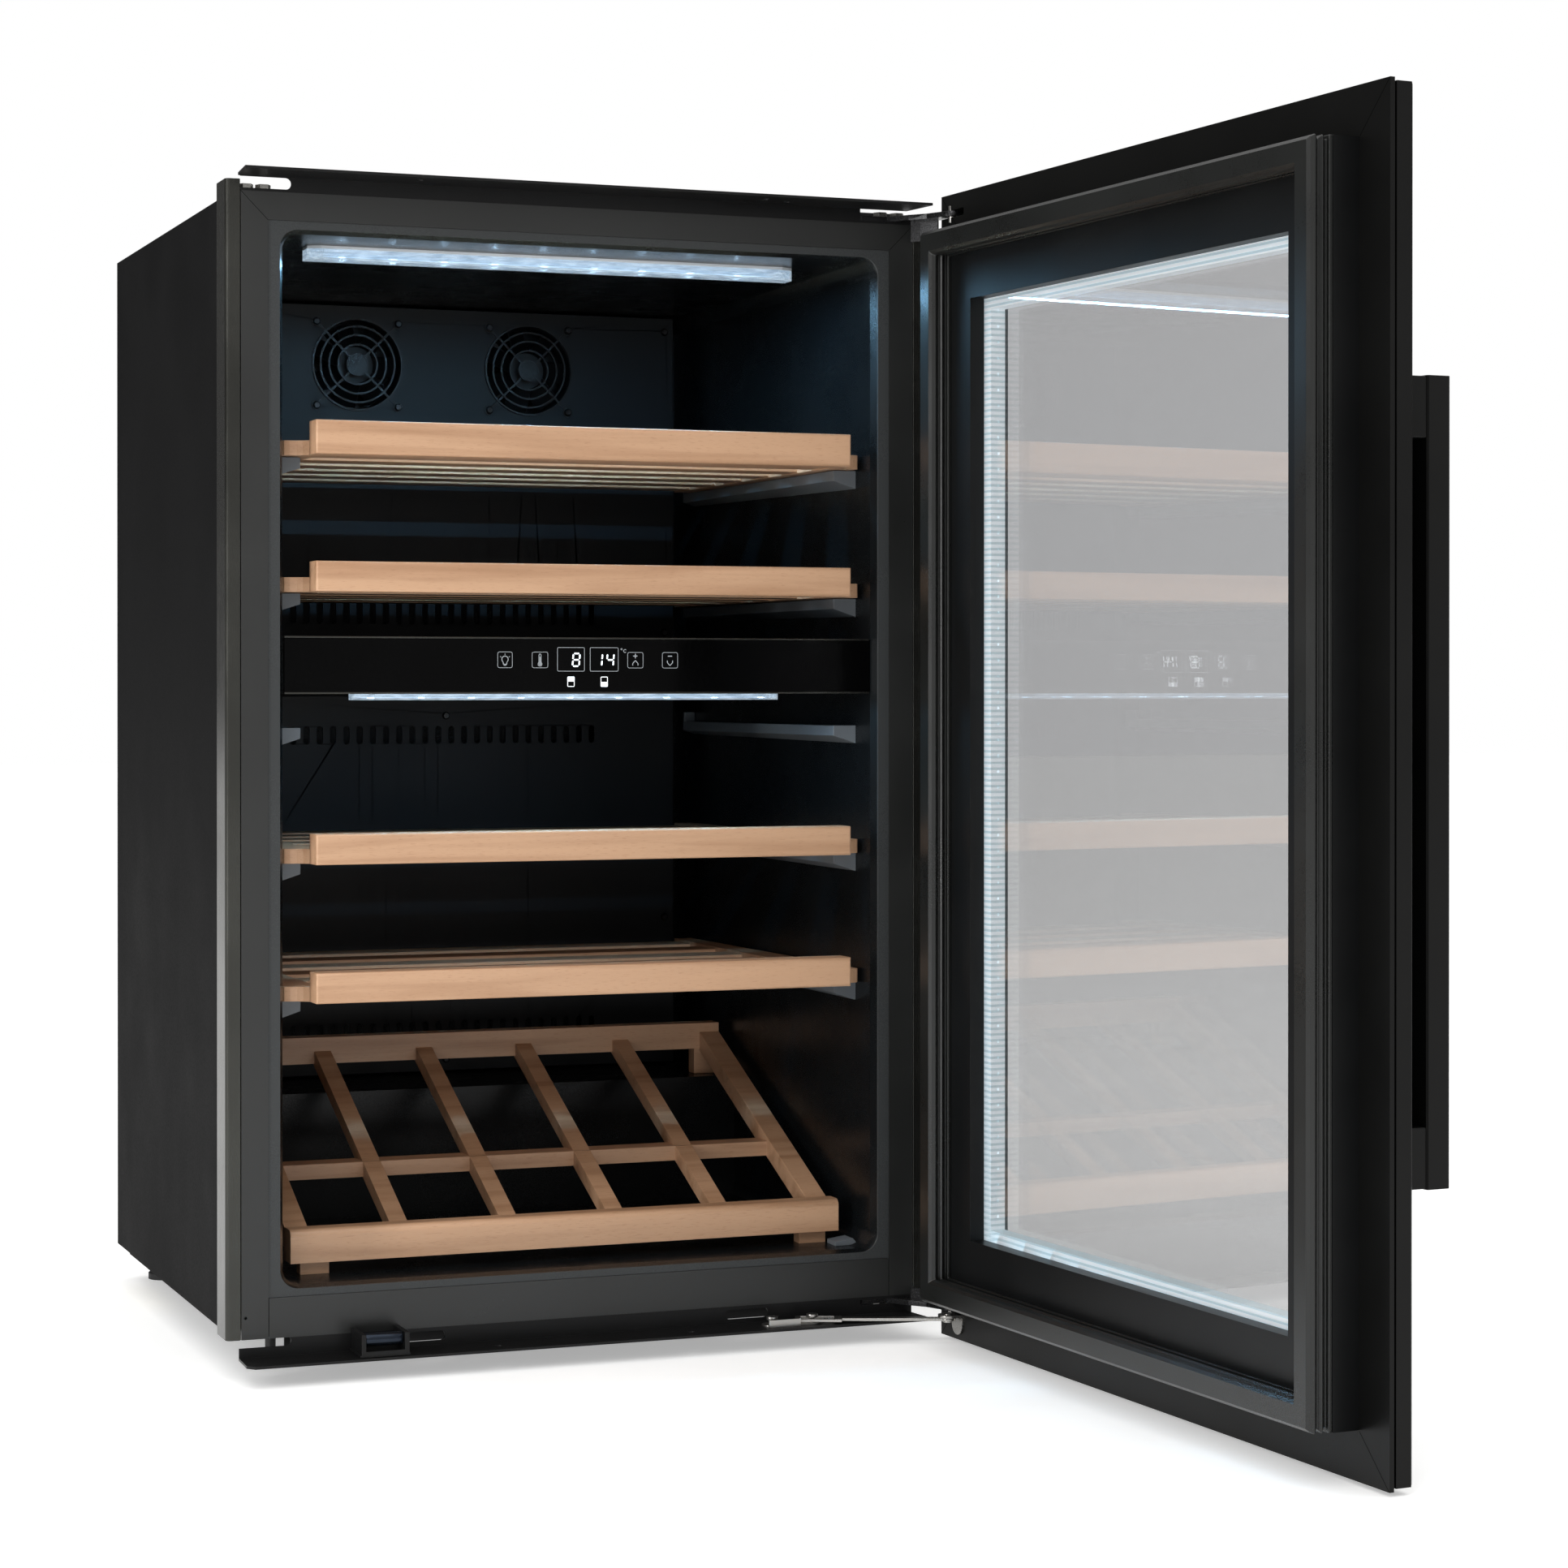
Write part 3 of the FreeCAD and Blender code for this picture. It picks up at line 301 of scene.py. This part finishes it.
looks = {
    "case_black": surface("case_black", (0.009, 0.009, 0.0092), 0.5, grain=500, relief=0.1,
                          specular=0.006),
    "frame_grey": surface("frame_grey", (0.013, 0.0135, 0.013), 0.34, grain=700, relief=0.08,
                          specular=0.5),
    "bracket_black": surface("bracket_black", (0.007, 0.007, 0.0072), 0.36, grain=700,
                             specular=0.2),
    "trim_steel": surface("trim_steel", (0.05, 0.05, 0.045), 0.24, 0.85, 400, 0.05,
                          stretch=(8, 8, 0.08)),
    "liner_plastic": liner_plastic(),
    "cover_plastic": surface("cover_plastic", (0.008, 0.0095, 0.0115), 0.4, grain=1500,
                             specular=0.25),
    "foam": surface("foam", (0.62, 0.55, 0.36), 0.85, grain=350, relief=0.6),
    "zinc_steel": surface("zinc_steel", (0.42, 0.41, 0.39), 0.26, 1.0, 900, 0.08),
    "hinge_steel": surface("hinge_steel", (0.04, 0.04, 0.0415), 0.22, 0.9, 900),
    "roller_steel": surface("roller_steel", (0.02, 0.027, 0.04), 0.22, 0.8, 900, 0.05),
    "support_grey": surface("support_grey", (0.12, 0.135, 0.15), 0.42, grain=1200),
    "fascia_gloss": surface("fascia_gloss", (0.0012, 0.0012, 0.0013), 0.12, grain=400,
                            relief=0.01, specular=0.06),
    "display_gloss": surface("display_gloss", (0.0016, 0.0016, 0.0018), 0.14, grain=400,
                             relief=0.01, specular=0.06),
    "board_green": surface("board_green", (0.012, 0.075, 0.03), 0.45),
    "lens_clear": lens_glow("lens_clear"),
    "led_white": surface("led_white", (0.75, 0.8, 0.85), 0.45),
    "fan_black": surface("fan_black", (0.006, 0.006, 0.0064), 0.42, grain=1200, specular=0.25),
    "wire_black": surface("wire_black", (0.004, 0.004, 0.0043), 0.3, specular=0.3),
    "door_black": surface("door_black", (0.004, 0.004, 0.0038), 0.34, grain=800, relief=0.06,
                          specular=0.14),
    "door_inner": surface("door_inner", (0.005, 0.0053, 0.0055), 0.38, grain=1300, specular=0.2),
    "gasket_rubber": surface("gasket_rubber", (0.009, 0.0095, 0.009), 0.3, grain=1100,
                             specular=0.45),
    "glass_grey": pane_glass("glass_grey", (0.97, 0.975, 0.98), (0.535, 0.535, 0.54)),
    "spacer_alu": spacer_metal_with_painted_glow("spacer_alu"),
    "alu_fins": surface("alu_fins", (0.72, 0.73, 0.74), 0.4, 1.0, 600),
    "compressor_black": surface("compressor_black", (0.005, 0.005, 0.0055), 0.26),
    "inlet_black": surface("inlet_black", (0.01, 0.01, 0.0105), 0.5, grain=1200),
    "foot_black": surface("foot_black", (0.01, 0.01, 0.0105), 0.55, grain=900),
}
BEECH_LIGHT, BEECH_DARK = (0.56, 0.335, 0.2), (0.42, 0.23, 0.125)
GRAIN_SHIFT = 1.7
boards = [wood("beech_%d" % i, BEECH_LIGHT, BEECH_DARK, GRAIN_SHIFT * i) for i in range(5)]


# ---------------------------------------------------------------- dress the CAD pieces
FINE_EDGE = 0.0004


def dress(obj, mat, edge):
    """Give a CAD piece its material and, where edge is not 0, softly rounded edges."""
    obj.data.materials.clear()
    obj.data.materials.append(mat)
    if edge:
        weld = obj.modifiers.new("weld", "WELD")
        weld.merge_threshold = 0.000005
        bevel = obj.modifiers.new("edge", "BEVEL")
        bevel.width = edge
        bevel.segments = 2
        bevel.limit_method = "ANGLE"
        bevel.angle_limit = math.radians(50)
        bevel.harden_normals = True
        bevel.use_clamp_overlap = True


NO_EDGE = {"insulation", "evaporator_coils", "condenser", "fan_guards", "glass_spacer",
           "rear_grille", "control_board", "fan_rotor_left", "fan_rotor_right",
           "condenser_fan_rotor", "compressor"}
WIDE_EDGE = {"frame_stiles": 0.0008, "frame_top_rail": 0.0008, "frame_bottom_rail": 0.0008,
             "liner": 0.001, "door_inner_frame": 0.0012, "handle_bar": 0.0006, "gasket": 0.0008,
             "display_shelf_front": 0.0012, "handle_posts": 0.0008}
slots = {row["node"]: row["material_slot"] for row in frame["record"]["subparts"]}
for name, obj in nodes.items():
    if slots[name] == "beech":
        number = int(name.split("_")[1]) if name.startswith("shelf_") else 0
        mat = boards[number]
    else:
        mat = looks[slots[name]]
    dress(obj, mat, 0 if name in NO_EDGE else WIDE_EDGE.get(name, FINE_EDGE))


# ---------------------------------------------------------------- marks on the control strip
MARK_Y = 7.93
MARK_THICK = 0.00006


class Marks:
    """Flat strokes and filled shapes just in front of the control strip, in cabinet mm."""

    def __init__(self):
        self.verts = []
        self.faces = []

    def shape(self, points):
        start = len(self.verts)
        self.verts += [at(x, MARK_Y, z) for x, z in points]
        self.faces.append(list(range(start, start + len(points))))

    def stroke(self, x0, z0, x1, z1, width):
        length = math.hypot(x1 - x0, z1 - z0)
        nx, nz = -(z1 - z0) / length * width / 2, (x1 - x0) / length * width / 2
        self.shape([(x0 + nx, z0 + nz), (x0 - nx, z0 - nz), (x1 - nx, z1 - nz),
                    (x1 + nx, z1 + nz)])

    def line(self, points, width):
        for (x0, z0), (x1, z1) in zip(points, points[1:]):
            self.stroke(x0, z0, x1, z1, width)

    def ring(self, x, z, r, width, start=0, stop=360):
        steps = 20
        angles = [math.radians(start + (stop - start) * i / steps) for i in range(steps + 1)]
        self.line([(x + r * math.cos(a), z + r * math.sin(a)) for a in angles], width)

    def round_frame(self, x0, x1, z0, z1, r, width):
        points = []
        for cx, cz, a0 in ((x1 - r, z1 - r, 0), (x0 + r, z1 - r, 90),
                           (x0 + r, z0 + r, 180), (x1 - r, z0 + r, 270)):
            for k in range(5):
                a = math.radians(a0 + 22.5 * k)
                points.append((cx + r * math.cos(a), cz + r * math.sin(a)))
        self.line(points + points[:1], width)

    def digit(self, x, z, w, h, number):
        """Seven-segment figure with its lower left corner at x, z."""
        lit = {"1": "bc", "4": "bcfg", "8": "abcdefg"}[number]
        ends = {
            "a": (0, h, w, h), "b": (w, h, w, h / 2), "c": (w, h / 2, w, 0), "d": (0, 0, w, 0),
            "e": (0, 0, 0, h / 2), "f": (0, h / 2, 0, h), "g": (0, h / 2, w, h / 2),
        }
        half, lean = 1.125, 0.08
        for key in lit:
            x0, z0, x1, z1 = ends[key]
            length = math.hypot(x1 - x0, z1 - z0)
            dx, dz = (x1 - x0) / length, (z1 - z0) / length
            pts = []
            for along, side in ((0.5, 0), (1.0, 0.5), (length - 1.0, 0.5), (length - 0.5, 0),
                                (length - 1.0, -0.5), (1.0, -0.5)):
                px = x0 + dx * along - dz * side * half
                pz = z0 + dz * along + dx * side * half
                pts.append((x + px + lean * pz, z + pz))
            self.shape(pts)

    def build(self, name, mat):
        thick = add_mesh(name, self.verts, self.faces, mat).modifiers.new("thick", "SOLIDIFY")
        thick.thickness = MARK_THICK
        thick.offset = 0


icon_light = glow("icon_light", (0.86, 0.93, 1.0), 0.2, (0.3, 0.32, 0.34))
badge_light = glow("badge_light", (0.9, 0.96, 1.0), 0.9)
digit_light = glow("digit_light", (0.85, 0.94, 1.0), 1.6)

marks = Marks()
for x0, x1 in ((208, 220), (235, 248), (311, 324), (339, 352)):
    marks.round_frame(x0 + 0.3, x1 - 0.3, 518.3, 530.2, 1.4, 0.3)
for x0, x1 in ((255, 277), (281, 304)):
    marks.round_frame(x0 + 0.3, x1 - 0.3, 515.8, 533.7, 0.9, 0.32)
# lamp key
marks.ring(214, 524.6, 2.5, 0.5, -50, 230)
marks.line([(212.6, 522.6), (212.6, 520.9), (215.4, 520.9), (215.4, 522.6)], 0.5)
marks.stroke(213, 520.1, 215, 520.1, 0.45)
for angle in (30, 90, 150):
    a = math.radians(angle)
    marks.stroke(214 + 3.4 * math.cos(a), 524.6 + 3.4 * math.sin(a),
                 214 + 4.4 * math.cos(a), 524.6 + 4.4 * math.sin(a), 0.4)
# thermometer key
marks.ring(241.5, 521.1, 1.5, 0.5)
marks.ring(241.5, 521.1, 0.5, 0.8)
marks.line([(240.7, 522.4), (240.7, 528.2), (241.5, 528.9), (242.3, 528.2), (242.3, 522.4)], 0.45)
marks.stroke(241.5, 522, 241.5, 526.5, 0.5)
# warmer and cooler keys
marks.stroke(315.8, 527.4, 319.2, 527.4, 0.6)
marks.stroke(317.5, 525.7, 317.5, 529.1, 0.6)
marks.line([(315.4, 520.2), (315.4, 521.8), (317.5, 524), (319.6, 521.8), (319.6, 520.2)], 0.5)
marks.stroke(343.8, 527.4, 347.2, 527.4, 0.6)
marks.line([(343.4, 524), (343.4, 522.4), (345.5, 520.2), (347.6, 522.4), (347.6, 524)], 0.5)
# degree mark beside the figures
marks.ring(306.4, 532.6, 0.55, 0.35)
marks.ring(309.2, 531.2, 1.15, 0.4, 45, 315)
# zone badges: upper zone and lower zone
badges = Marks()
for x, full in ((266, "top"), (292.5, "low")):
    badges.round_frame(x - 2.6, x + 2.6, 504.2, 511.4, 0.5, 0.45)
    low = 508.0 if full == "top" else 504.2
    high = 511.4 if full == "top" else 507.6
    badges.shape([(x - 2.6, low), (x + 2.6, low), (x + 2.6, high), (x - 2.6, high)])
badges.build("zone_badges", badge_light)
marks.build("control_marks", icon_light)

figures = Marks()
figures.digit(267.2, 519.6, 5.2, 9.6, "8")
figures.digit(285.2, 519.6, 5.2, 9.6, "1")
figures.digit(294.4, 519.6, 5.2, 9.6, "4")
figures.build("display_figures", digit_light)


# ---------------------------------------------------------------- light bars
def walls(levels):
    """Side faces between levels of four corners each."""
    faces = []
    for level in range(levels - 1):
        for k in range(4):
            a, b = level * 4 + k, level * 4 + (k + 1) % 4
            faces.append((a, b, b + 4, a + 4))
    return faces


def emitter(name, x, y, z, size, h, mat):
    """Small domed light-emitting chip facing down."""
    verts = []
    rings = ((1.0, 0.0), (1.0, 0.35), (0.8, 0.75), (0.45, 1.0))
    for scale, drop in rings:
        reach = size / 2 * scale
        for sx, sy in ((-1, -1), (1, -1), (1, 1), (-1, 1)):
            verts.append(at(x + sx * reach, y + sy * reach, z - h * drop))
    add_mesh(name, verts, walls(len(rings)) + [(0, 3, 2, 1), (12, 13, 14, 15)], mat)


def glow_strip(name, x0, x1, y, z, width, thick, mat):
    """Light strip with tapered ends and a shallow crowned underside."""
    section = ((-1, 0), (1, 0), (0.75, -1), (-0.75, -1))
    stations = ((x0, 0.35), (x0 + 4, 1), (x1 - 4, 1), (x1, 0.35))
    verts = []
    for x, scale in stations:
        verts += [at(x, y + a * width / 2 * scale, z + b * thick * scale) for a, b in section]
    sides = [(a, d, c, b) for a, b, c, d in walls(len(stations))]
    add_mesh(name, verts, [(0, 1, 2, 3), (15, 14, 13, 12)] + sides, mat)


TOP_BAR_Y, LOW_BAR_Y = 72.5, 24.5
chip_light = glow("chip_light", CHIP_TINT, 45.0)
strip_light = glow("strip_light", (0.45, 0.75, 1.0), 0.35)
low_strip_light = glow("low_strip_light", (0.5, 0.78, 1.0), 0.35)
glow_strip("top_light_strip", 90, 454, TOP_BAR_Y, 829.2, 12, 0.3, strip_light)
glow_strip("low_light_strip", 106, 434, LOW_BAR_Y, 496.1, 9, 0.3, low_strip_light)
for i in range(9):
    emitter("top_chip_%d" % i, 104.5 + 40 * i, TOP_BAR_Y, 828.85, 4.4, 1.0, chip_light)
    emitter("low_chip_%d" % i, 114.5 + 39 * i, LOW_BAR_Y, 495.75, 4.0, 0.4, chip_light)


def bar_light(name, x, y, z, length, watts):
    """Light thrown down into the cabinet by one bar."""
    data = bpy.data.lights.new(name, "AREA")
    data.shape = "RECTANGLE"
    data.size, data.size_y = length, 0.012
    data.energy = watts
    data.color = BAR_TINT
    light = bpy.data.objects.new(name, data)
    bpy.context.collection.objects.link(light)
    light.location = at(x, y, z)
    light.visible_camera = False
    light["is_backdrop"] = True


bar_light("top_bar_light", 272, TOP_BAR_Y, 824.5, 0.36, 1.6)
bar_light("low_bar_light", 270, LOW_BAR_Y, 492.5, 0.32, 0.5)


# ---------------------------------------------------------------- seams of the door frame
SEAM_HALF, SEAM_START, SEAM_OUT = 0.25, 0.02, -0.03
SEAMS = ((591, 0, 558.5, 32.5), (591, 885, 558.5, 852.5),
         (0.5, 0.5, 32, 32.5), (0.5, 884.5, 32, 852.5))


def door_seams(mat):
    """Thin dark lines along the four mitres of the door frame, on its inner face."""
    verts, faces = [], []
    for u0, z0, u1, z1 in SEAMS:
        length = math.hypot(u1 - u0, z1 - z0)
        nu, nz = -(z1 - z0) / length * SEAM_HALF, (u1 - u0) / length * SEAM_HALF
        u0, z0 = u0 + (u1 - u0) * SEAM_START, z0 + (z1 - z0) * SEAM_START
        corners = ((u0 + nu, z0 + nz), (u0 - nu, z0 - nz), (u1 - nu, z1 - nz), (u1 + nu, z1 + nz))
        start = len(verts)
        verts += [door_at(u, SEAM_OUT, z) for u, z in corners]
        faces.append(tuple(range(start, start + 4)))
    add_mesh("door_seams", verts, faces, mat, "door")


door_seams(surface("seam_black", (0.001, 0.001, 0.001), 0.8, specular=0.02))


# ---------------------------------------------------------------- studio
def studio_floor(glow_strength):
    """Pale floor, a little self-lit so that it stays near white under the shadows."""
    mat = surface("floor_pale", (0.92, 0.92, 0.915), 0.6, grain=60, relief=0.02, vary=0.01,
                  specular=0.2)
    shader = mat.node_tree.nodes["Principled BSDF"]
    shader.inputs["Emission Color"].default_value = (1, 1, 1, 1)
    shader.inputs["Emission Strength"].default_value = glow_strength
    bpy.ops.mesh.primitive_plane_add(size=40, location=(0, 0, 0))
    floor = bpy.context.object
    floor.name = "studio_floor"
    floor.data.materials.append(mat)
    floor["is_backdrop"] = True


def soft_step(tree, source, start, stop, low, high):
    """Smooth change from low to high while the source goes from start to stop."""
    step = tree.nodes.new("ShaderNodeMapRange")
    step.interpolation_type = "SMOOTHSTEP"
    step.inputs["From Min"].default_value = start
    step.inputs["From Max"].default_value = stop
    step.inputs["To Min"].default_value = low
    step.inputs["To Max"].default_value = high
    tree.links.new(source, step.inputs["Value"])
    return step.outputs["Result"]


def greater(tree, first, second):
    node = tree.nodes.new("ShaderNodeMath")
    node.operation = "MAXIMUM"
    tree.links.new(first, node.inputs[0])
    tree.links.new(second, node.inputs[1])
    return node.outputs[0]


def studio_world():
    """Plain white to the camera and through the glass, a soft studio to every other ray."""
    world = bpy.data.worlds.new("studio_world")
    bpy.context.scene.world = world
    world.use_nodes = True
    tree = world.node_tree
    backdrop = tree.nodes["Background"]
    backdrop.inputs["Color"].default_value = (1, 1, 1, 1)
    studio = tree.nodes.new("ShaderNodeBackground")
    studio.inputs["Color"].default_value = (1.0, 0.995, 0.985, 1)
    direction = tree.nodes.new("ShaderNodeTexCoord")
    axes = tree.nodes.new("ShaderNodeSeparateXYZ")
    tree.links.new(direction.outputs["Generated"], axes.inputs["Vector"])
    aside = tree.nodes.new("ShaderNodeMath")
    aside.operation = "MULTIPLY_ADD"
    tree.links.new(axes.outputs["X"], aside.inputs[0])
    aside.inputs[1].default_value = -0.5
    tree.links.new(axes.outputs["Y"], aside.inputs[2])
    toward_front = soft_step(tree, aside.outputs[0], -0.25, -0.8, 0.1, 0.62)
    overhead = soft_step(tree, axes.outputs["Z"], 0.25, 0.85, 0.0, 1.1)
    tree.links.new(greater(tree, toward_front, overhead), studio.inputs["Strength"])
    ray = tree.nodes.new("ShaderNodeLightPath")
    seen = greater(tree, ray.outputs["Is Camera Ray"], ray.outputs["Is Transmission Ray"])
    pick = tree.nodes.new("ShaderNodeMixShader")
    tree.links.new(seen, pick.inputs["Fac"])
    tree.links.new(studio.outputs["Background"], pick.inputs[1])
    tree.links.new(backdrop.outputs["Background"], pick.inputs[2])
    tree.links.new(pick.outputs["Shader"], tree.nodes["World Output"].inputs["Surface"])


def softbox(name, place, target, size, watts):
    """Rectangular studio light at place (metres), aimed at target."""
    data = bpy.data.lights.new(name, "AREA")
    data.shape = "RECTANGLE"
    data.size, data.size_y = size
    data.energy = watts
    light = bpy.data.objects.new(name, data)
    bpy.context.collection.objects.link(light)
    light.location = place
    aim = [t - p for t, p in zip(target, place)]
    heading = math.atan2(aim[1], aim[0])
    flat = math.hypot(aim[0], aim[1])
    light.rotation_euler = (math.atan2(flat, -aim[2]), 0, heading - math.pi / 2)
    light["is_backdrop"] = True


FLOOR_GLOW = 0.38
studio_floor(FLOOR_GLOW)
studio_world()
softbox("key", (-1.6, -2.6, 2.2), (0, -0.1, 0.45), (1.2, 1.2), 18)
softbox("fill", (2.4, -1.8, 1.4), (0.2, 0, 0.4), (1.5, 2.0), 4)
softbox("edge_strip", (-2.4, -1.15, 0.8), (-0.27, -0.2, 0.45), (0.3, 2.0), 30)
softbox("overhead", (0.2, -0.4, 3.2), (0.2, -0.4, 0), (4.0, 4.0), 30)


# ---------------------------------------------------------------- camera of the photograph
EYE = (-0.8094, -2.7477, 0.5068)
TILT, TURN = 89.795, -21.253
SENSOR, LENS, SHIFT_UP = 36, 79.21, -0.054

camera_data = bpy.data.cameras.new("photo_camera")
camera_data.sensor_width = SENSOR
camera_data.lens = LENS
camera_data.shift_y = SHIFT_UP
camera_data.clip_start, camera_data.clip_end = 0.05, 100
camera = bpy.data.objects.new("photo_camera", camera_data)
bpy.context.collection.objects.link(camera)
camera.location = EYE
camera.rotation_euler = (math.radians(TILT), 0, math.radians(TURN))
bpy.context.scene.camera = camera
bpy.context.scene.view_settings.view_transform = "Standard"

low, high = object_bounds()
